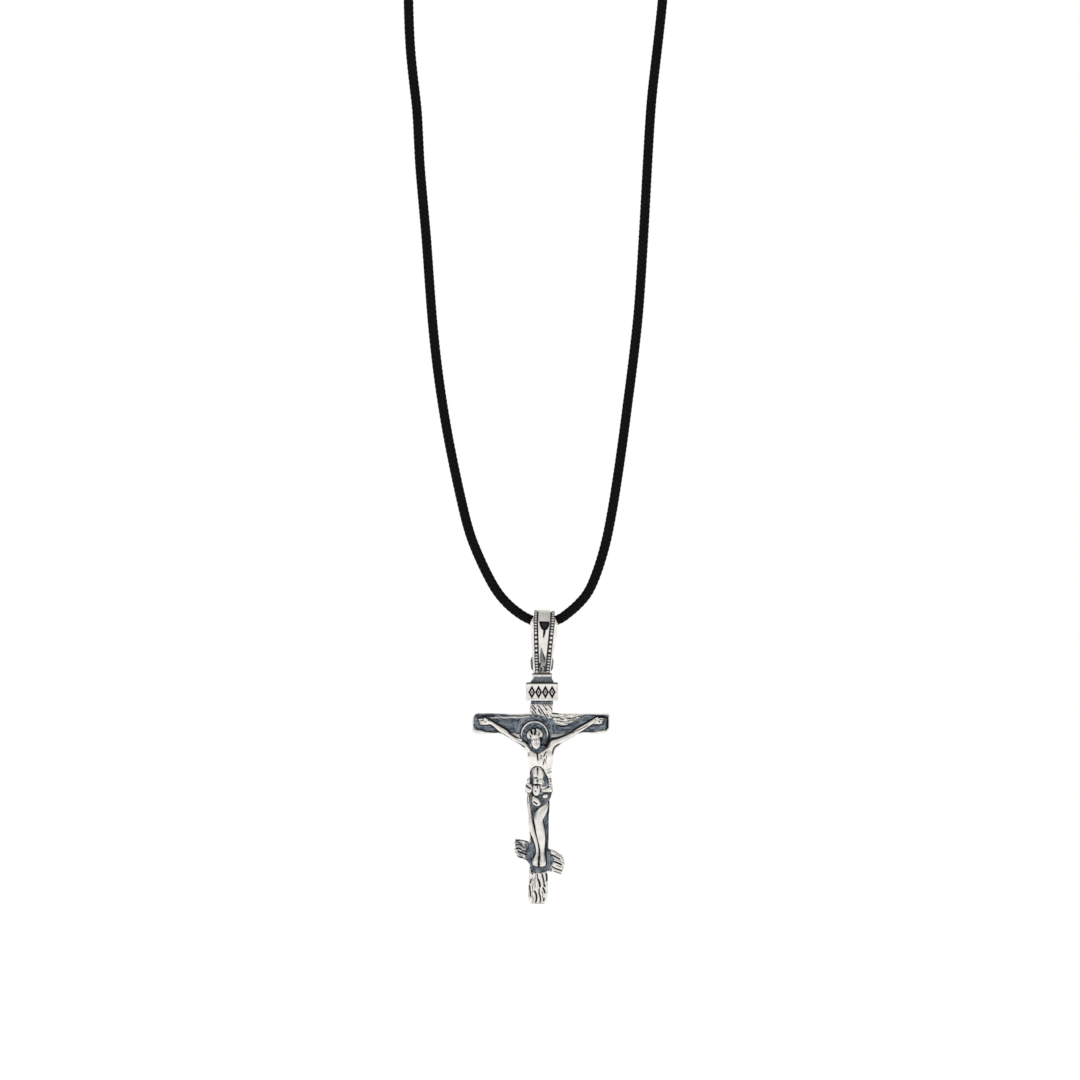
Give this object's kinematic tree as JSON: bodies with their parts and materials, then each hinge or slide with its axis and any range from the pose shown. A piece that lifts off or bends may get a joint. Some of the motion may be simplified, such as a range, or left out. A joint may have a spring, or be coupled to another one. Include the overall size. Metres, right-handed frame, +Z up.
{
  "type": "crucifix necklace",
  "caption": "Blackened silver crucifix with a slanting foot bar, hung by a tapered, bead-edged bail from a round braided black cord that closes in a plain barrel clasp.",
  "frame": {"origin": "where the loop hangs from its support: the underside of the clasp, at the inside top of the loop", "axes": "+Z up, away from the hanging cross; -Y out of the cross's front; +X to the right, seen from the front"},
  "size_m": [0.0568, 0.0064, 0.282],
  "materials": {
    "cord": "matte black braid",
    "clasp": "polished",
    "bail": "polished silver, blackened in its grooves",
    "crucifix": "polished silver relief on blue-grey blackened ground"
  },
  "bodies": {
    "loop": {"cord": "cord", "clasp": "clasp"},
    "bail": {"bail": "bail"},
    "cross": {"crucifix": "crucifix"}
  },
  "joints": [
    {"name": "bail_swing", "type": "hinge", "parent": "loop", "child": "bail", "pos_m": [0.00028, 0, -0.22221], "axis": [0.999, 0, -0.0436], "range_deg": [-90, 90]},
    {"name": "cross_swing", "type": "hinge", "parent": "bail", "child": "cross", "pos_m": [0, 0, -0.23045], "axis": [0, 1, 0], "range_deg": [-45, 45]}
  ]
}
